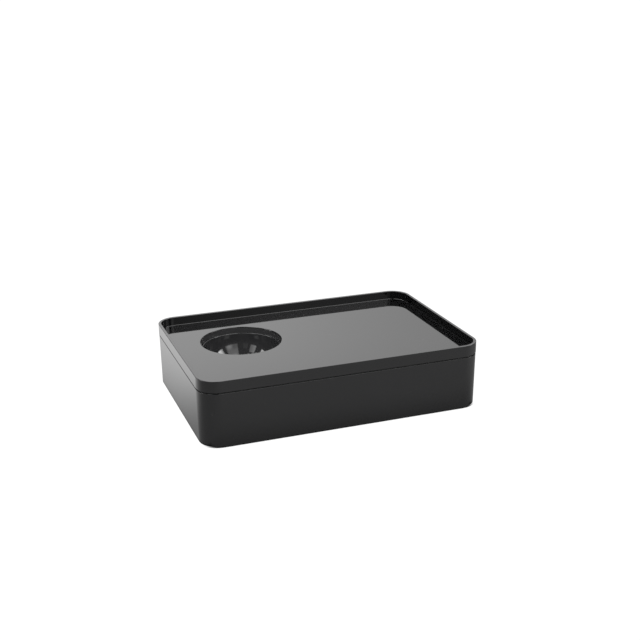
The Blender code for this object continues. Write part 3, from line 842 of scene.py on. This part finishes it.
def buildMat(spec):
    low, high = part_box("storage_mat")
    corner = (spec["corner"], 8)
    bm = outline(((low.x, low.y, *corner), (high.x, low.y, *corner),
                  (high.x, high.y, *corner), (low.x, high.y, *corner)))
    bmesh.ops.delete(bm, geom=bm.faces[:], context="FACES_ONLY")
    for place in ("front_right", "rear_right"):
        ring = bmesh.ops.create_circle(bm, segments=spec["holeSteps"], radius=spec["holeRadius"], cap_ends=False)
        bmesh.ops.translate(bm, verts=ring["verts"], vec=plumb(*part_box("foot_" + place)))
    fillFlat(bm, bm.edges[:])
    bmesh.ops.translate(bm, verts=bm.verts[:], vec=(0, 0, low.z))
    thicken(bm, (0, 0, high.z - low.z))
    bevelSharp(bm, spec["edge"], 3, 60)
    return finishPiece("storage_mat_sheet", bm, "box", ["storage_mat"], matRubber)


buildDivider(storageDivider)
buildMat(storageMat)
print("storage bay built")


footPad = {"bore": 0.0018, "headClear": 0.0033, "headHigh": 0.0015, "grooves": (0.0050, 0.0066),
           "grooveWide": 0.0006, "grooveSlope": 0.0001, "grooveDeep": 0.0003, "treadRound": 0.0005, "steps": 48}
footScrew = {"headRadius": 0.0030, "shankRadius": 0.0015, "headHigh": 0.0012, "socketRim": 0.0018, "hex": 0.0013,
             "hexDeep": 0.0006, "headRound": 0.0003, "tipRound": 0.0005, "steps": 48}


def buildFoot(spec, place):
    low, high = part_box("foot_" + place)
    radius = (high.x - low.x) / 2
    points = [(spec["bore"], spec["headHigh"]), (spec["headClear"], spec["headHigh"]),
              (spec["headClear"], 0, 0.0002, 2)]
    slope, deep = spec["grooveSlope"], spec["grooveDeep"]
    for near in spec["grooves"]:
        far = near + spec["grooveWide"]
        points += [(near, 0, slope, 1), (near + slope, deep), (far - slope, deep), (far, 0, slope, 1)]
    points += [(radius, 0, spec["treadRound"], 4), (radius, high.z, 0.0002, 2), (spec["bore"], high.z)]
    bm = spinRound(profileWire(points, True), spec["steps"], plumb(low, high))
    finishPiece("foot_pad_" + place, bm, "box", ["foot_" + place], footRubber)


def buildScrew(spec, place):
    low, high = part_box("foot_screw_" + place)
    bm = spinRound(profileWire((
        (spec["socketRim"], low.z),
        (spec["headRadius"], low.z, spec["headRound"], 4),
        (spec["headRadius"], spec["headHigh"], 0.0001, 1),
        (spec["shankRadius"], spec["headHigh"]),
        (spec["shankRadius"], high.z, spec["tipRound"], 2),
        (0, high.z),
    )), spec["steps"])
    socket = bmesh.ops.create_circle(bm, segments=6, radius=spec["hex"], cap_ends=False)
    bmesh.ops.translate(bm, verts=socket["verts"], vec=(0, 0, low.z))
    fillFlat(bm, [edge for edge in bm.edges if not edge.link_faces or edge.is_boundary])
    rim = [edge for edge in bm.edges if edge.is_boundary]
    verts, edges = wireOf(bmesh.ops.extrude_edge_only(bm, edges=rim)["geom"])
    bmesh.ops.translate(bm, verts=verts, vec=(0, 0, spec["hexDeep"]))
    bmesh.ops.contextual_create(bm, geom=edges)
    bmesh.ops.translate(bm, verts=bm.verts[:], vec=plumb(low, high))
    finishPiece("foot_bolt_" + place, bm, "box", ["foot_screw_" + place], screwSteel, 30)


for place in footPlaces:
    buildFoot(footPad, place)
    buildScrew(footScrew, place)
print("feet and screws built")


# a band is two limits, in metres or as an open share of the sky, and a glow is the level at each of them
studioFloor = {
    "size": 40.0, "white": 1.08, "albedo": 0.75, "roughness": 0.9,
    "contactReach": 0.0038, "contactBand": (0.52, 0.78), "contactEnds": (0.014, 0.001),
    "leftBand": (-0.09, 0.12), "leftGlow": (0.50, 1.65), "rightBand": (-0.16, -0.04), "rightGlow": (0.68, 0.36),
    "sideBand": (-0.26, -0.06),
    "shadeDepth": 0.31, "shadeLeftShare": 0.35, "shadeBand": (-0.16, -0.13), "shadeReach": 0.040,
    "underBand": (-0.006, 0.002), "underGlow": 0.08,
}


def buildFloor(spec):
    bm = bmesh.new()
    bmesh.ops.create_grid(bm, x_segments=1, y_segments=1, size=spec["size"])
    mesh = bpy.data.meshes.new("studioFloor")
    bm.to_mesh(mesh)
    bm.free()
    floor = bpy.data.objects.new("studioFloor", mesh)
    bpy.context.scene.collection.objects.link(floor)
    material, tree, shader, place = startFinish("studioFloorPaintedLight")
    shader.inputs["Base Color"].default_value = (spec["albedo"], spec["albedo"], spec["albedo"], 1)
    shader.inputs["Roughness"].default_value = spec["roughness"]
    shader.inputs["Specular IOR Level"].default_value = 0.0
    # painted light for what the gloss black sees in the table: a glow brighter at the left rear, with painted shade
    # darker close to the box and under it
    spot = addNode(tree, "SeparateXYZ", None, {"Vector": place})
    left = ramp(tree, spot.outputs["Y"], *spec["leftBand"], *spec["leftGlow"])
    right = ramp(tree, spot.outputs["Y"], *spec["rightBand"], *spec["rightGlow"])
    side = ramp(tree, spot.outputs["X"], *spec["sideBand"])
    glow = blendValue(tree, side, left, right)
    pastX = mathNode(tree, "SUBTRACT", mathNode(tree, "ABSOLUTE", spot.outputs["X"]), cadHigh.x)
    pastY = mathNode(tree, "SUBTRACT", mathNode(tree, "ABSOLUTE", spot.outputs["Y"]), cadHigh.y)
    off = reach(tree, mathNode(tree, "MAXIMUM", pastX, 0.0), mathNode(tree, "MAXIMUM", pastY, 0.0))
    away = mathNode(tree, "DIVIDE", off, -spec["shadeReach"])
    depth = ramp(tree, spot.outputs["X"], *spec["shadeBand"], spec["shadeDepth"] * spec["shadeLeftShare"],
                 spec["shadeDepth"])
    shade = mathNode(tree, "MULTIPLY", mathNode(tree, "EXPONENT", away), depth)
    # painted shade on the table under the box, as the gloss sees it
    under = ramp(tree, mathNode(tree, "MAXIMUM", pastX, pastY), *spec["underBand"], spec["underGlow"], 1.0)
    seen = mathNode(tree, "MULTIPLY", glow, mathNode(tree, "SUBTRACT", 1.0, shade))
    paintedReflectionLight = addNode(tree, "Emission", None, {"Strength": mathNode(tree, "MULTIPLY", seen, under)})
    # plain white paper for the camera, with a painted contact shadow only where the box nearly touches it
    corner = addNode(tree, "AmbientOcclusion", {"samples": 16}, {"Distance": spec["contactReach"]})
    clear = ramp(tree, corner.outputs["AO"], *spec["contactBand"])
    endFrom, endTo = (cadHigh.x - inset for inset in spec["contactEnds"])
    ends = ramp(tree, mathNode(tree, "ABSOLUTE", spot.outputs["X"]), endFrom, endTo)
    bright = mathNode(tree, "MULTIPLY", mathNode(tree, "MAXIMUM", clear, ends), spec["white"])
    # painted contact shadow: the emission is dimmed by the ambient occlusion ramp
    paper = addNode(tree, "Emission", None, {"Strength": bright})
    path = addNode(tree, "LightPath")
    other = addNode(tree, "MixShader", None, {0: path.outputs["Is Glossy Ray"], 1: shader.outputs[0],
                                              2: paintedReflectionLight.outputs[0]})
    mixed = addNode(tree, "MixShader", None, {0: path.outputs["Is Camera Ray"], 1: other.outputs[0],
                                              2: paper.outputs[0]})
    tree.links.new(mixed.outputs[0], tree.nodes["Material Output"].inputs["Surface"])
    mesh.materials.append(material)


# bright areas that the gloss reflects; azimuths are in degrees from viewAzimuth, positive towards the left
studioSky = {
    "openBand": (-0.2, 0.9), "open": (0.5, 1.8), "camera": 1.08, "dark": 0.12, "viewAzimuth": 200.0,
    "backdrop": {"from": -18.0, "to": 40.0, "softFrom": 7.0, "softTo": 12.0, "low": -6.0, "top": 80.0, "softUp": 6.0,
                 "sideBand": (-10.0, 12.0), "sides": (1.57, 1.04), "horizonBand": (17.0, 21.5), "horizon": 0.25,
                 "riseBand": (22.0, 54.0), "rise": 2.4},
    "overhead": {"clearBand": (18.0, 30.0), "band": (42.0, 58.0), "level": 4.2},
    "frontRight": {"from": -58.0, "to": -16.5, "softFrom": 4.0, "softTo": 0.8, "low": 17.6, "top": 58.0,
                   "softUp": 2.4, "level": 1.25, "upperBand": (25.0, 38.0), "upper": 0.8,
                   "bump": 2.1, "bumpPlace": (-45.0, 22.0), "bumpSize": (11.5, 10.0), "bumpFade": (0.1, 1.4)},
    "frontLeft": {"from": 26.0, "to": 46.5, "softFrom": 0.8, "softTo": 2.0, "low": 19.6, "top": 41.5,
                  "softUp": 1.0, "band": (26.0, 46.5), "levels": (1.75, 3.4)},
    "rightSide": {"from": -102.0, "to": -71.0, "softFrom": 4.0, "softTo": 2.0, "low": 19.5, "top": 34.0,
                  "softUp": 1.5, "band": (-84.0, -71.0), "levels": (11.5, 5.0)},
    "leftSide": {"from": 69.0, "to": 101.0, "softFrom": 2.0, "softTo": 5.0, "low": 22.0, "top": 34.0,
                 "softUp": 1.5, "band": (69.0, 101.0), "levels": (9.0, 12.0)},
    "blob": {"from": 2.0, "to": 17.0, "softFrom": 3.0, "softTo": 3.0, "low": 18.0, "top": 32.0, "softUp": 3.0,
             "level": 0.3},
}


# 1 inside a soft-edged window of the sky, 0 outside it
def windowMask(tree, azimuth, elevation, spec):
    softFrom, softTo, softUp = spec["softFrom"], spec["softTo"], spec["softUp"]
    parts = (
        ramp(tree, azimuth, spec["from"] - softFrom, spec["from"] + softFrom),
        ramp(tree, azimuth, spec["to"] - softTo, spec["to"] + softTo, 1.0, 0.0),
        ramp(tree, elevation, spec["low"] - softUp, spec["low"] + softUp),
        ramp(tree, elevation, spec["top"] - softUp, spec["top"] + softUp, 1.0, 0.0),
    )
    mask = parts[0]
    for part in parts[1:]:
        mask = mathNode(tree, "MULTIPLY", mask, part)
    return mask


def buildSky(spec):
    world = bpy.data.worlds.new("studioSky")
    world.use_nodes = True
    world.cycles.sampling_method = "NONE"
    bpy.context.scene.world = world
    tree = world.node_tree
    shader = tree.nodes["Background"]
    shader.inputs["Color"].default_value = (1, 1, 1, 1)
    turn = math.radians(spec["viewAzimuth"])
    towards = addNode(tree, "TexCoord").outputs["Generated"]
    along = addNode(tree, "VectorMath", {"operation": "DOT_PRODUCT"},
                    {0: towards, 1: (math.sin(turn), math.cos(turn), 0)}).outputs["Value"]
    across = addNode(tree, "VectorMath", {"operation": "DOT_PRODUCT"},
                     {0: towards, 1: (math.cos(turn), -math.sin(turn), 0)}).outputs["Value"]
    toDegrees = math.degrees(1.0)
    azimuth = mathNode(tree, "MULTIPLY", mathNode(tree, "ARCTAN2", across, along), toDegrees)
    behind = mathNode(tree, "MULTIPLY", mathNode(tree, "ARCTAN2", mathNode(tree, "MULTIPLY", across, -1.0),
                                                 mathNode(tree, "MULTIPLY", along, -1.0)), toDegrees)
    height = addNode(tree, "SeparateXYZ", None, {"Vector": towards}).outputs["Z"]
    elevation = mathNode(tree, "MULTIPLY", mathNode(tree, "ARCSINE", height), toDegrees)

    part = spec["backdrop"]
    mask = windowMask(tree, behind, elevation, part)
    level = addUp(tree, ramp(tree, behind, *part["sideBand"], *part["sides"]),
                  (ramp(tree, elevation, *part["horizonBand"], -1.0, 0.0), part["horizon"]),
                  (ramp(tree, elevation, *part["riseBand"]), part["rise"]))
    total = addUp(tree, spec["dark"], (mask, level))

    part = spec["overhead"]
    aside = ramp(tree, mathNode(tree, "ABSOLUTE", azimuth), *part["clearBand"])
    above = mathNode(tree, "MULTIPLY", ramp(tree, elevation, *part["band"]), aside)
    total = addUp(tree, total, (mathNode(tree, "MULTIPLY", above, mathNode(tree, "SUBTRACT", 1.0, mask)),
                                part["level"]))

    part = spec["frontRight"]
    mask = windowMask(tree, azimuth, elevation, part)
    (bumpAcross, bumpUp), (bumpWide, bumpHigh) = part["bumpPlace"], part["bumpSize"]
    offAcross = mathNode(tree, "DIVIDE", mathNode(tree, "SUBTRACT", azimuth, bumpAcross), bumpWide)
    offUp = mathNode(tree, "DIVIDE", mathNode(tree, "SUBTRACT", elevation, bumpUp), bumpHigh)
    off = reach(tree, offAcross, offUp)
    level = addUp(tree, part["level"], (ramp(tree, elevation, *part["upperBand"]), part["upper"]),
                  (ramp(tree, off, *part["bumpFade"], 1.0, 0.0), part["bump"]))
    total = addUp(tree, total, (mask, level))

    for name in ("frontLeft", "rightSide", "leftSide"):
        part = spec[name]
        mask = windowMask(tree, azimuth, elevation, part)
        total = addUp(tree, total, (mask, ramp(tree, azimuth, *part["band"], *part["levels"])))
    part = spec["blob"]
    total = addUp(tree, total, (windowMask(tree, azimuth, elevation, part), part["level"]))

    # reflections see the windows, matt surfaces an even sky, and the camera plain white
    path = addNode(tree, "LightPath")
    soft = ramp(tree, height, *spec["openBand"], *spec["open"])
    glossy = blendValue(tree, path.outputs["Is Glossy Ray"], soft, total)
    final = blendValue(tree, path.outputs["Is Camera Ray"], glossy, spec["camera"])
    tree.links.new(final, shader.inputs["Strength"])


buildFloor(studioFloor)
buildSky(studioSky)

viewer = {"place": (-0.35995, -0.99886, 0.44762), "turn": -20.213, "tilt": 70.97, "roll": -0.446,
          "lens": 59.23, "sensor": 36.0, "clip": 0.01}
cameraData = bpy.data.cameras.new("viewer")
cameraData.lens = viewer["lens"]
cameraData.sensor_width = viewer["sensor"]
cameraData.clip_start = viewer["clip"]
camera = bpy.data.objects.new("viewer", cameraData)
bpy.context.scene.collection.objects.link(camera)
camera.matrix_world = (
    Matrix.Translation(Vector(viewer["place"]) + Vector((middle.x, middle.y, cadLow.z)))
    @ Matrix.Rotation(math.radians(viewer["turn"]), 4, "Z")
    @ Matrix.Rotation(math.radians(viewer["tilt"]), 4, "X")
    @ Matrix.Rotation(math.radians(viewer["roll"]), 4, "Z")
)
bpy.context.scene.camera = camera
print("studio and camera set")
